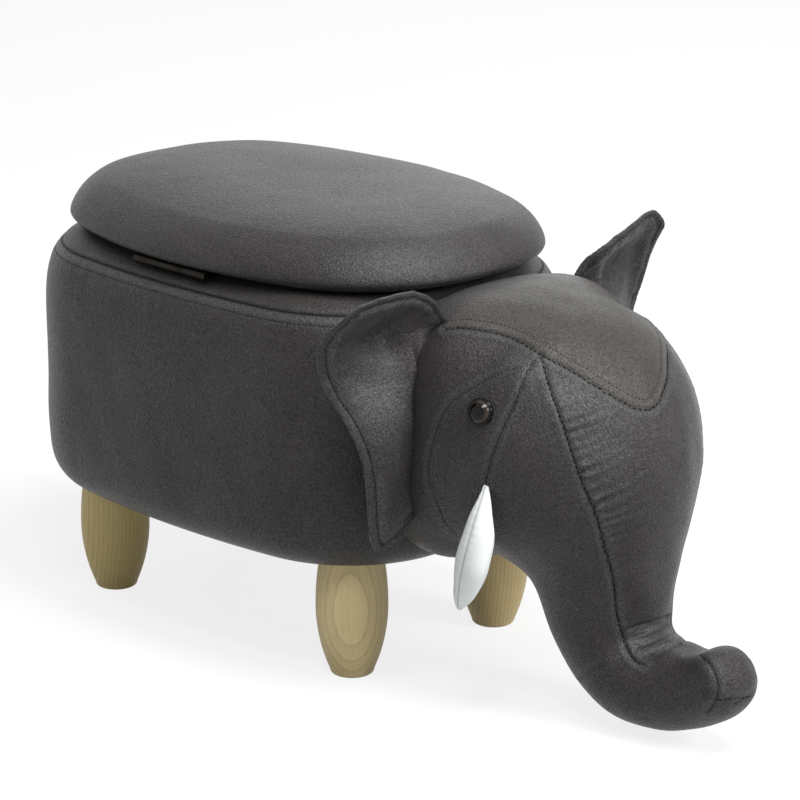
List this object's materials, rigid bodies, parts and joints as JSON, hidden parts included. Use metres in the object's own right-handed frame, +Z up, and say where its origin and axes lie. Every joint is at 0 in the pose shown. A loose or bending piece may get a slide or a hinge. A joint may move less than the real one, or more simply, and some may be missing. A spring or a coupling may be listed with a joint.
{
  "type": "storage stool",
  "caption": "Elephant-shaped upholstered storage stool: oval leather-covered box on turned wooden legs, padded lid on a side hinge, stuffed head with trunk, ears and tusks.",
  "frame": {"origin": "on the floor, under the centre of the footprint of the whole stool", "axes": "+X towards the head and trunk, +Z up, +Y to the stool's left, away from the hinge"},
  "size_m": [0.6677, 0.341, 0.358],
  "materials": {
    "hide": "distressed matte",
    "tusk_hide": "satin",
    "leg_wood": "clear satin",
    "board": "raw",
    "padding": "matte",
    "lining": "matte",
    "steel": "zinc plated",
    "hinge_metal": "dark bronze",
    "eye_plastic": "gloss"
  },
  "bodies": {
    "stool": {"base_board": "board", "dust_cover": "lining", "wall_panel": "board", "top_rim": "board", "rim_cover": "hide", "storage_lining": "lining", "wall_foam": "padding", "body_cover": "hide", "leg_front_left": "leg_wood", "leg_front_right": "leg_wood", "leg_rear_left": "leg_wood", "leg_rear_right": "leg_wood", "leg_bolts": "steel", "leg_t_nuts": "steel", "base_screws": "steel", "rim_screws": "steel", "hinge_fixed_leaf": "hinge_metal", "hinge_pin": "hinge_metal", "hinge_fixed_screws": "hinge_metal", "head_board": "board", "head_bolts": "steel", "head_t_nuts": "steel", "head_cover": "hide", "head_filling": "padding", "trunk_cover": "hide", "trunk_tip": "hide", "trunk_filling": "padding", "ear_left": "hide", "ear_right": "hide", "tusk_left": "tusk_hide", "tusk_right": "tusk_hide", "eye_left": "eye_plastic", "eye_right": "eye_plastic", "eye_washers": "eye_plastic"},
    "lid": {"lid_lining": "lining", "lid_board": "board", "lid_foam": "padding", "lid_cover": "hide", "hinge_lid_leaf": "hinge_metal", "hinge_lid_screws": "hinge_metal"}
  },
  "joints": [
    {"name": "lid_hinge", "type": "hinge", "parent": "stool", "child": "lid", "pos_m": [-0.127, -0.132, 0.30175], "axis": [1, 0, 0], "range_deg": [0, 115]}
  ]
}
